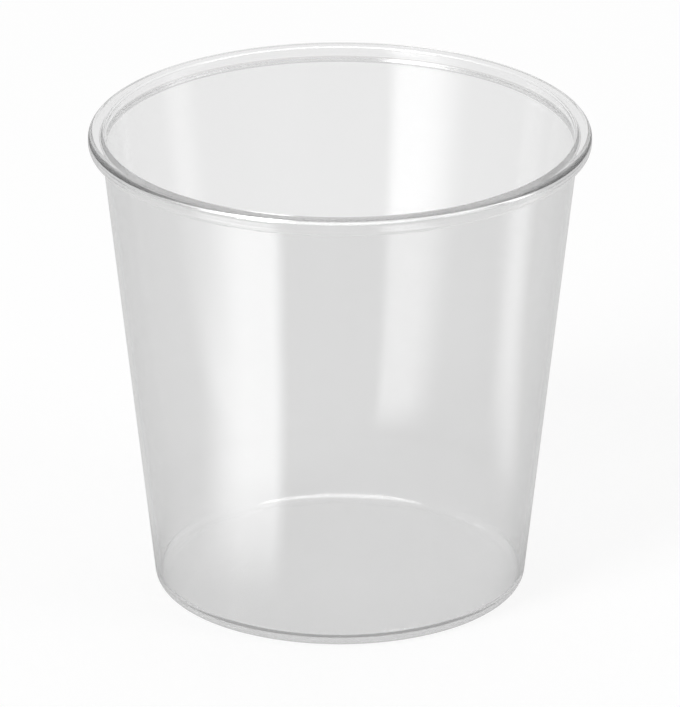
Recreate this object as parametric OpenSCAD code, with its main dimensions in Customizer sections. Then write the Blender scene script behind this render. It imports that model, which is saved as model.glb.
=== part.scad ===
// Plastic disposable cup: a small clear cup moulded in one piece.
// The cup stands on Z = 0 with its mouth up, and Z is its axis.
// Its half section is drawn in 2D, with radius to the right and height up,
// and is turned once around the axis.

/* [Overall] */
// Height of the cup, from the table to the top of the lip
cup_h = 47; // [42:0.5:54]
// Diameter over the lip, the widest place on the cup
lip_d = 49; // [46:0.5:54]
// Diameter at the foot, where the side would meet the table if its edge were sharp
foot_d = 36.2; // [32:0.2:40]

/* [Wall and floor] */
// Thickness of the side, measured square to its surface
wall_t = 0.5; // [0.4:0.05:0.8]
// Thickness of the floor
floor_t = 0.8; // [0.6:0.1:1.4]
// Radius of the rounded outer edge at the foot
foot_r = 1.2; // [0.9:0.1:2]
// Radius of the corner inside the cup, where the side meets the floor
inner_r = 0.9; // [0.5:0.1:1.6]

/* [Lip] */
// How far the lip stands out from the side
lip_out = 1.3; // [0.9:0.1:1.8]
// Height of the lip, from its underside to the top of the cup
lip_h = 1.6; // [1.4:0.1:2.2]
// Radius of the two outer edges of the lip
lip_edge_r = 0.6; // [0.3:0.05:0.65]
// Radius of the drinking edge, inside the mouth
mouth_r = 0.25; // [0.1:0.05:0.35]
// Radius of the fillet between the lip's underside and the side
root_r = 0.3; // [0.1:0.05:0.4]

/* [Hidden] */
$fn = 96;
// Outside of the side at the foot and under the lip, and the lip's outer face
side_foot_x = foot_d / 2;
side_top_x = lip_d / 2 - lip_out;
lip_x = lip_d / 2;
lip_z = cup_h - lip_h;
// Angle of the side from upright, and its thickness along a level line
lean = atan((side_top_x - side_foot_x) / lip_z);
wall_x = wall_t / cos(lean);

// Radius of the outside of the side at height z
function side_x(z) = side_foot_x + z * tan(lean);

// Radius of the inside of the side at height z
function inside_x(z) = side_x(z) - wall_x;

// Unit step in direction a
function step(a) = [cos(a), sin(a)];

// What lies between a sharp corner p, whose edges leave it in directions
// a and b, and an arc of radius r that touches both edges. It runs on past
// the corner, so that it meets the shape that it rounds with no shared edge.
module corner_piece(p, a, b, r) {
    half = (b - a) / 2;
    middle = (a + b) / 2;
    reach = r / tan(half);
    centre = p + r / sin(half) * step(middle);
    difference() {
        polygon([p - r * step(middle), p + reach * step(a), centre, p + reach * step(b)]);
        translate(centre) circle(r);
    }
}

// Outside of the cup below and beside the lip, as if it were solid
module outer_section() {
    difference() {
        polygon([[0, 0], [side_foot_x, 0], [side_x(cup_h), cup_h], [0, cup_h]]);
        corner_piece([side_foot_x, 0], 90 - lean, 180, foot_r);
    }
}

// The lip: a flat ring with rounded outer edges and a fillet beneath it
module lip_section() {
    difference() {
        translate([inside_x(lip_z), lip_z]) square([lip_x - inside_x(lip_z), lip_h]);
        corner_piece([lip_x, lip_z], 90, 180, lip_edge_r);
        corner_piece([lip_x, cup_h], 180, 270, lip_edge_r);
    }
    corner_piece([side_top_x, lip_z], -90 - lean, 0, root_r);
}

// The space inside the cup, which flares out at the drinking edge
module hollow_section() {
    difference() {
        polygon([[0, floor_t], [inside_x(floor_t), floor_t], [inside_x(cup_h), cup_h],
            [0, cup_h]]);
        corner_piece([inside_x(floor_t), floor_t], 90 - lean, 180, inner_r);
    }
    corner_piece([inside_x(cup_h), cup_h], -90 - lean, 0, mouth_r);
}

module cup() {
    color([0.93, 0.94, 0.95, 0.35])
        rotate_extrude()
            difference() {
                union() {
                    outer_section();
                    lip_section();
                }
                hollow_section();
            }
}

cup();
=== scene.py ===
"""A small clear plastic cup on a white table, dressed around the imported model."""
import math

import bmesh
import bpy
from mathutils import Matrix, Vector


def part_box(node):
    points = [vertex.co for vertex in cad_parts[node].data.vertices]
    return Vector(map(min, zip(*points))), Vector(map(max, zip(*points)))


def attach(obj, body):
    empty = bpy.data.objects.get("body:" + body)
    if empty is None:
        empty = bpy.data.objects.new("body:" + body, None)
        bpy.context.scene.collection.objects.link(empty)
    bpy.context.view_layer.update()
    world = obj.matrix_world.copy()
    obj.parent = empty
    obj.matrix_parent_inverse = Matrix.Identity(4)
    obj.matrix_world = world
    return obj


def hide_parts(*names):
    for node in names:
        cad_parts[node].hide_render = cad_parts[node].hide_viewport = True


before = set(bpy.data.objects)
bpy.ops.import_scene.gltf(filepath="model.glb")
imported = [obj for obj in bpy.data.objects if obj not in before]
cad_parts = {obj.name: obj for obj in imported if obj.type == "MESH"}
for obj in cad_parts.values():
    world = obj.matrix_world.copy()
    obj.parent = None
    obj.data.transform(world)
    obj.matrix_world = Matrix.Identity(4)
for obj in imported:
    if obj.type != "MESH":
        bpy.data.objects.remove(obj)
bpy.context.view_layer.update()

# The cup, in metres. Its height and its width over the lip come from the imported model.
CUP_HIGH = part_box("cup")[1]
CUP_H = CUP_HIGH[2]
LIP_R = min(CUP_HIGH[0], CUP_HIGH[1])
FOOT_R = 0.0181          # outside of the side where it would meet the table
LIP_OUT = 0.0013         # how far the lip stands out from the side
LIP_H = 0.0016
WALL_T = 0.0005          # side, measured square to its surface
FLOOR_T = 0.0008
FOOT_EDGE_R = 0.0012     # rounded outer edge at the foot
INNER_R = 0.0009         # corner inside, between side and floor
LIP_EDGE_R = 0.0006
MOUTH_R = 0.00025        # drinking edge
ROOT_R = 0.0003          # fillet under the lip
ROUND_STEPS = 192        # quads around the cup
WALL_STEPS = 16          # quads up each side
ARC_STEPS = 8            # quads over each rounded edge

SIDE_LEAN = math.atan((LIP_R - LIP_OUT - FOOT_R) / (CUP_H - LIP_H))

# The plastic. CLEAR and ROUGH each vary between two values from place to place.
CLEAR = (0.85, 0.88)     # the share of the light that goes through
ROUGH = (0.02, 0.06)
INDEX = 1.59             # index of refraction
FLOW_SCALE = 90.0        # the slight unevenness that moulding leaves
FLOW_UP = 0.25           # its scale along the axis, as a share of that
FLOW_DETAIL = 3.0
FLOW_DEPTH = 0.00001     # height of the waves in the surface
ABSORB = 20.0            # darkens long paths inside the plastic
ABSORB_TINT = 0.9

# The table is white to the eye, and dimmer where the plastic mirrors it. A pair of distances
# from the axis says where a change begins and where it is complete.
TABLE_HALF = 3.0
TABLE_Z = -0.00005       # just under the foot
TABLE_GREY = 0.15        # the part of its white that the lamps light, near the cup
TABLE_FADE = (0.15, 0.45)  # where that part gives way to plain white
TABLE_MIRRORED = (0.4, 0.6)  # its level where the plastic mirrors it: lower close to the foot, a painted shade, and farther out
FOOT_SHADE_REACH = (0.018, 0.03)  # where that painted shade gives way, from the one to the other
UNDER_PAINTED_LIGHT = 0.65         # painted light under the foot: the share of plain white that stands in for the lamps' light through the clear floor
UNDER_FOOT = (0.0162, 0.019)  # where that share ends

# The world, as a strength at which 1 is white.
SKY_SEEN = 0.85          # through the plastic
SKY_MIRRORED = 0.9       # as a share of that
SKY_LIGHT = 0.35         # on matt surfaces
OVERHEAD = 6.0           # extra above the front, in reflections, which lines the lip
OVERHEAD_FROM = (0.42, 0.85)  # where it begins and is full, as height over distance
OVERHEAD_BACK = (0.35, -0.15)  # where it ends and is full, as depth over distance

# The glowing cards that paint highlights into the plastic's reflections, which lie between the
# table and the foot.
CARD_Z = -0.00002
CARD_STEPS = 12          # quads across
CARD_RINGS = 8           # quads along
CARD_RISE = 0.25         # the share of the length over which the glow comes up

# The camera stands where the photograph's camera stood, with a longer lens that lets one cup
# fill the picture. Its distance and its height above the table are in lip widths.
LIP_D = 2 * LIP_R
CAMERA_BACK = 20
CAMERA_UP = 8.7
FRAME_W = 680            # pixels
CUP_PIXELS = 500         # width of the lip in the picture
SENSOR_W = 36.0          # millimetres
CLIP = (0.01, 20)        # nearest and farthest distance that the camera sees

# Light passes many times inside the lip and the foot before it leaves the plastic.
BOUNCES = 128


def outside_x(z):
    """Radius of the outside of the side at height z."""
    return FOOT_R + z * math.tan(SIDE_LEAN)


def inside_x(z):
    """Radius of the inside of the side at height z."""
    return outside_x(z) - WALL_T / math.cos(SIDE_LEAN)


def rounded(corner, before, after, radius):
    """Points of the arc that rounds a corner, with their outward normals.

    before and after are the directions of travel into and out of the corner, in radians.
    """
    turn = after - before
    reach = radius * math.tan(abs(turn) / 2)
    side = 1 if turn > 0 else -1
    start = Vector(corner) - reach * Vector((math.cos(before), math.sin(before)))
    centre = start + side * radius * Vector((-math.sin(before), math.cos(before)))
    points = []
    for i in range(ARC_STEPS + 1):
        a = before + turn * i / ARC_STEPS
        normal = Vector((math.sin(a), -math.cos(a)))
        points.append((centre + side * radius * normal, normal))
    return points


def cup_section():
    """Half section, from the middle of the base round the lip to the middle of the floor."""
    up = math.pi / 2 - SIDE_LEAN
    down = up + math.pi
    out, inward, rise = 0.0, math.pi, math.pi / 2
    line = [(Vector((0, 0)), Vector((0, -1)))]
    line += rounded((FOOT_R, 0), out, up, FOOT_EDGE_R)
    root = rounded((outside_x(CUP_H - LIP_H), CUP_H - LIP_H), up, out, ROOT_R)
    line += between(line[-1], root[0]) + root
    line += rounded((LIP_R, CUP_H - LIP_H), out, rise, LIP_EDGE_R)
    line += rounded((LIP_R, CUP_H), rise, inward, LIP_EDGE_R)
    line += rounded((inside_x(CUP_H), CUP_H), inward, down, MOUTH_R)
    corner = rounded((inside_x(FLOOR_T), FLOOR_T), down, inward, INNER_R)
    line += between(line[-1], corner[0]) + corner
    line += [(Vector((0, FLOOR_T)), Vector((0, 1)))]
    return line


def between(first, last):
    """Points along a straight stretch of the side."""
    return [(first[0].lerp(last[0], i / WALL_STEPS), first[1]) for i in range(1, WALL_STEPS)]


def revolve(name, line):
    """A closed mesh of the section turned round Z, with the section's own normals."""
    bm = bmesh.new()
    rings, normals = [], []
    for point, normal in line:
        if point.x < 1e-9:
            rings.append([bm.verts.new((0, 0, point.y))])
            normals.append(Vector((0, 0, normal.y)))
            continue
        ring = []
        for k in range(ROUND_STEPS):
            a = 2 * math.pi * k / ROUND_STEPS
            ring.append(bm.verts.new((point.x * math.cos(a), point.x * math.sin(a), point.y)))
            normals.append(Vector((normal.x * math.cos(a), normal.x * math.sin(a), normal.y)))
        rings.append(ring)
    for low, high in zip(rings, rings[1:]):
        for k in range(ROUND_STEPS):
            n = (k + 1) % ROUND_STEPS
            if len(low) == 1:
                bm.faces.new((low[0], high[n], high[k]))
            elif len(high) == 1:
                bm.faces.new((low[k], low[n], high[0]))
            else:
                bm.faces.new((low[k], low[n], high[n], high[k]))
    mesh = bpy.data.meshes.new(name)
    bm.to_mesh(mesh)
    bm.free()
    mesh.polygons.foreach_set("use_smooth", [True] * len(mesh.polygons))
    mesh.normals_split_custom_set_from_vertices(normals)
    obj = bpy.data.objects.new(name, mesh)
    bpy.context.scene.collection.objects.link(obj)
    return obj


def new_material(name):
    material = bpy.data.materials.new(name)
    material.use_nodes = True
    return material, material.node_tree.nodes, material.node_tree.links


def grey(level):
    return (level, level, level, 1)


def clear_plastic():
    """Clear glossy plastic, with the slight unevenness that moulding leaves."""
    material, nodes, links = new_material("clear_plastic")
    shader = nodes["Principled BSDF"]
    shader.inputs["IOR"].default_value = INDEX
    shader.inputs["Transmission Weight"].default_value = 1.0
    place = nodes.new("ShaderNodeTexCoord")
    stretch = nodes.new("ShaderNodeMapping")
    stretch.inputs["Scale"].default_value = (1, 1, FLOW_UP)
    links.new(place.outputs["Object"], stretch.inputs["Vector"])
    flow = nodes.new("ShaderNodeTexNoise")
    flow.inputs["Scale"].default_value = FLOW_SCALE
    flow.inputs["Detail"].default_value = FLOW_DETAIL
    links.new(stretch.outputs["Vector"], flow.inputs["Vector"])
    rough = nodes.new("ShaderNodeMapRange")
    rough.inputs["To Min"].default_value = ROUGH[0]
    rough.inputs["To Max"].default_value = ROUGH[1]
    links.new(flow.outputs["Fac"], rough.inputs["Value"])
    links.new(rough.outputs["Result"], shader.inputs["Roughness"])
    tint = nodes.new("ShaderNodeMix")
    tint.data_type = "RGBA"
    tint.inputs["A"].default_value = grey(CLEAR[0])
    tint.inputs["B"].default_value = grey(CLEAR[1])
    links.new(flow.outputs["Fac"], tint.inputs["Factor"])
    links.new(tint.outputs["Result"], shader.inputs["Base Color"])
    wave = nodes.new("ShaderNodeBump")
    wave.inputs["Strength"].default_value = 1.0
    wave.inputs["Distance"].default_value = FLOW_DEPTH
    links.new(flow.outputs["Fac"], wave.inputs["Height"])
    links.new(wave.outputs["Normal"], shader.inputs["Normal"])
    depth = nodes.new("ShaderNodeVolumeAbsorption")
    depth.inputs["Color"].default_value = grey(ABSORB_TINT)
    depth.inputs["Density"].default_value = ABSORB
    links.new(depth.outputs["Volume"], nodes["Material Output"].inputs["Volume"])
    return material


def maths(nodes, links, operation, *values):
    """One maths node, whose inputs are sockets or numbers."""
    node = nodes.new("ShaderNodeMath")
    node.operation = operation
    for socket, value in zip(node.inputs, values):
        if isinstance(value, (int, float)):
            socket.default_value = value
        else:
            links.new(value, socket)
    return node.outputs[0]


def mirrored_once(nodes, links, path):
    """1 where the plastic has mirrored the light exactly once on its way, and otherwise 0."""
    return maths(nodes, links, "COMPARE", path.outputs["Glossy Depth"], 1.0, 0.5)


def shown_white(nodes, links, level):
    """1 for the camera and through the plastic, and level where the plastic mirrors it once.

    Light that has been mirrored more often came round inside the lip or the foot, and stays 1.
    """
    path = nodes.new("ShaderNodeLightPath")
    direct = maths(nodes, links, "MAXIMUM", path.outputs["Is Camera Ray"],
                   path.outputs["Is Transmission Ray"])
    seen = maths(nodes, links, "MAXIMUM", direct, path.outputs["Is Glossy Ray"])
    less = maths(nodes, links, "SUBTRACT", level, 1.0)
    dim = maths(nodes, links, "MULTIPLY_ADD", mirrored_once(nodes, links, path), less, 1.0)
    return maths(nodes, links, "MULTIPLY", seen, dim)


def between_limits(nodes, links, value, low, high, to_low=0.0, to_high=1.0):
    """value, eased from to_low at low to to_high at high."""
    node = nodes.new("ShaderNodeMapRange")
    node.interpolation_type = "SMOOTHSTEP"
    node.inputs["From Min"].default_value = low
    node.inputs["From Max"].default_value = high
    node.inputs["To Min"].default_value = to_low
    node.inputs["To Max"].default_value = to_high
    links.new(value, node.inputs["Value"])
    return node.outputs["Result"]


def white_table():
    """A pale table that looks white, also through the cup, and keeps the cup's shadow,
    weakened under the foot by painted light; its reflection in the plastic has painted shade
    close to the foot.
    """
    material, nodes, links = new_material("white_table")
    nodes.remove(nodes["Principled BSDF"])
    place = nodes.new("ShaderNodeTexCoord")
    reach = nodes.new("ShaderNodeVectorMath")
    reach.operation = "LENGTH"
    links.new(place.outputs["Object"], reach.inputs[0])
    # Where the plastic mirrors the table, it is darker close to the foot: a painted shade.
    seen = shown_white(nodes, links, between_limits(nodes, links, reach.outputs["Value"],
                                                    *FOOT_SHADE_REACH, *TABLE_MIRRORED))
    near = nodes.new("ShaderNodeEmission")
    links.new(maths(nodes, links, "MULTIPLY", seen, 1.0 - TABLE_GREY), near.inputs["Strength"])
    matt = nodes.new("ShaderNodeBsdfDiffuse")
    matt.inputs["Color"].default_value = grey(TABLE_GREY)
    lit = nodes.new("ShaderNodeAddShader")
    links.new(near.outputs[0], lit.inputs[0])
    links.new(matt.outputs[0], lit.inputs[1])
    far = nodes.new("ShaderNodeEmission")
    links.new(seen, far.inputs["Strength"])
    both = nodes.new("ShaderNodeMixShader")
    # Painted light: under the foot the table is partly plain white, in place of the lamps'
    # light through the clear floor.
    painted_light_under_foot = between_limits(nodes, links, reach.outputs["Value"], *UNDER_FOOT, UNDER_PAINTED_LIGHT, 0.0)
    faded = between_limits(nodes, links, reach.outputs["Value"], *TABLE_FADE)
    links.new(maths(nodes, links, "MAXIMUM", painted_light_under_foot, faded), both.inputs["Fac"])
    links.new(lit.outputs[0], both.inputs[1])
    links.new(far.outputs[0], both.inputs[2])
    links.new(both.outputs[0], nodes["Material Output"].inputs["Surface"])
    return material


def glow(strength, rise, fall):
    """Painted highlight: light that shows only as a reflection in the plastic.

    Across the card it is full from rise to fall, and eases off to either side.
    """
    material, nodes, links = new_material("painted_highlight_card")
    nodes.remove(nodes["Principled BSDF"])
    path = nodes.new("ShaderNodeLightPath")
    bounced = maths(nodes, links, "GREATER_THAN", path.outputs["Glossy Depth"], 0.5)
    place = nodes.new("ShaderNodeTexCoord")
    across = nodes.new("ShaderNodeSeparateXYZ")
    links.new(place.outputs["UV"], across.inputs[0])
    shape = maths(nodes, links, "MULTIPLY",
                  between_limits(nodes, links, across.outputs["X"], 0.0, rise),
                  between_limits(nodes, links, across.outputs["X"], 1.0, fall))
    shape = maths(nodes, links, "MULTIPLY", shape,
                  between_limits(nodes, links, across.outputs["Y"], 0.0, CARD_RISE))
    light = nodes.new("ShaderNodeEmission")
    links.new(maths(nodes, links, "MULTIPLY", shape, strength), light.inputs["Strength"])
    clear = nodes.new("ShaderNodeBsdfTransparent")
    plus = nodes.new("ShaderNodeAddShader")
    links.new(light.outputs[0], plus.inputs[0])
    links.new(clear.outputs[0], plus.inputs[1])
    both = nodes.new("ShaderNodeMixShader")
    links.new(bounced, both.inputs["Fac"])
    links.new(clear.outputs[0], both.inputs[1])
    links.new(plus.outputs[0], both.inputs[2])
    links.new(both.outputs[0], nodes["Material Output"].inputs["Surface"])
    material.cycles.emission_sampling = "NONE"
    return material


def painted_highlight_card(name, azimuth, half_angle, near, far, strength, rise, fall):
    """A wedge-shaped glowing card on the table, azimuth degrees to the right of the camera,
    that paints a highlight into the plastic's reflections.

    It reaches from near to far, as distances from the axis.
    """
    mesh = bpy.data.meshes.new(name)
    corners, uvs, faces = [], [], []
    for i in range(CARD_STEPS + 1):
        a = math.radians(azimuth + half_angle * (2 * i / CARD_STEPS - 1))
        for j in range(CARD_RINGS + 1):
            r = near * (far / near) ** (j / CARD_RINGS)
            corners.append((r * math.sin(a), -r * math.cos(a), CARD_Z))
            uvs.append((i / CARD_STEPS, j / CARD_RINGS))
    for i in range(CARD_STEPS):
        for j in range(CARD_RINGS):
            k = i * (CARD_RINGS + 1) + j
            faces.append((k, k + 1, k + CARD_RINGS + 2, k + CARD_RINGS + 1))
    mesh.from_pydata(corners, [], faces)
    layer = mesh.uv_layers.new(name="across")
    for loop in mesh.loops:
        layer.data[loop.index].uv = uvs[loop.vertex_index]
    card = bpy.data.objects.new(name, mesh)
    bpy.context.scene.collection.objects.link(card)
    card.data.materials.append(glow(strength, rise, fall))


def look_at(obj, target):
    obj.rotation_euler = (Vector(target) - obj.location).to_track_quat("-Z", "Y").to_euler()


def softbox(name, azimuth, elevation, distance, width, height, power):
    """A soft lamp that faces the cup from azimuth degrees to the right of the camera."""
    data = bpy.data.lights.new(name, "AREA")
    data.shape = "RECTANGLE"
    data.size, data.size_y = width, height
    data.energy = power
    lamp = bpy.data.objects.new(name, data)
    a, e = math.radians(azimuth), math.radians(elevation)
    lamp.location = (distance * math.cos(e) * math.sin(a),
                     -distance * math.cos(e) * math.cos(a),
                     distance * math.sin(e))
    look_at(lamp, (0, 0, CUP_H / 2))
    bpy.context.scene.collection.objects.link(lamp)
    lamp.visible_camera = False
    lamp.visible_transmission = False


def white_surround():
    """A white world, brighter overhead in the reflections on the plastic."""
    world = bpy.data.worlds.new("studio")
    world.use_nodes = True
    nodes, links = world.node_tree.nodes, world.node_tree.links
    rays = nodes.new("ShaderNodeLightPath")
    place = nodes.new("ShaderNodeTexCoord")
    parts = nodes.new("ShaderNodeSeparateXYZ")
    links.new(place.outputs["Generated"], parts.inputs[0])
    high = between_limits(nodes, links, parts.outputs["Z"], *OVERHEAD_FROM, 0.0, OVERHEAD)
    front = between_limits(nodes, links, parts.outputs["Y"], *OVERHEAD_BACK)
    extra = maths(nodes, links, "MULTIPLY", high, front)
    # Rays that the plastic has bent count as glossy too, and rays off the table as reflected.
    for ray in (rays.outputs["Is Glossy Ray"], rays.outputs["Is Reflection Ray"],
                mirrored_once(nodes, links, rays)):
        extra = maths(nodes, links, "MULTIPLY", extra, ray)
    white = shown_white(nodes, links, SKY_MIRRORED)
    level = maths(nodes, links, "MULTIPLY", white, SKY_SEEN)
    level = maths(nodes, links, "MAXIMUM", level, SKY_LIGHT)
    level = maths(nodes, links, "MAXIMUM", level, rays.outputs["Is Camera Ray"])
    level = maths(nodes, links, "ADD", level, extra)
    nodes["Background"].inputs["Color"].default_value = grey(1)
    links.new(level, nodes["Background"].inputs["Strength"])
    return world


def aimed_camera():
    """The camera, whose lens makes the lip CUP_PIXELS wide."""
    data = bpy.data.cameras.new("camera")
    camera = bpy.data.objects.new("camera", data)
    camera.location = (0, -CAMERA_BACK * LIP_D, CAMERA_UP * LIP_D)
    middle = Vector((0, 0, CUP_H / 2))
    look_at(camera, middle)
    data.sensor_fit = "HORIZONTAL"
    data.sensor_width = SENSOR_W
    data.lens = SENSOR_W * CUP_PIXELS / FRAME_W * (camera.location - middle).length / LIP_D
    data.clip_start, data.clip_end = CLIP
    bpy.context.scene.collection.objects.link(camera)
    return camera


cup = revolve("cup_shell", cup_section())
cup.data.materials.append(clear_plastic())
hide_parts("cup")
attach(cup, "root")

bpy.ops.mesh.primitive_plane_add(size=2 * TABLE_HALF, location=(0, 0, TABLE_Z))
table = bpy.context.object
table.name = "table"
table.data.materials.append(white_table())

# Painted highlights: glowing cards that show only in the plastic's reflections, not lamps.
painted_highlight_card("painted_highlight_card_left", azimuth=-48, half_angle=25, near=0.022, far=0.5,
          strength=2.1, rise=0.6, fall=0.82)
painted_highlight_card("painted_highlight_card_right", azimuth=91, half_angle=16, near=0.03, far=0.5,
          strength=0.7, rise=0.5, fall=0.5)
softbox("key_softbox", azimuth=-40, elevation=40, distance=1.2,
        width=0.35, height=0.8, power=7.6)
softbox("fill_softbox", azimuth=65, elevation=35, distance=1.3,
        width=0.5, height=0.8, power=3.4)
softbox("back_softbox", azimuth=165, elevation=65, distance=1.4,
        width=1.8, height=1.4, power=5.8)

scene = bpy.context.scene
scene.world = white_surround()
scene.camera = aimed_camera()
scene.view_settings.view_transform = "Standard"
for limit in ("max_bounces", "glossy_bounces", "transmission_bounces"):
    setattr(scene.cycles, limit, BOUNCES)
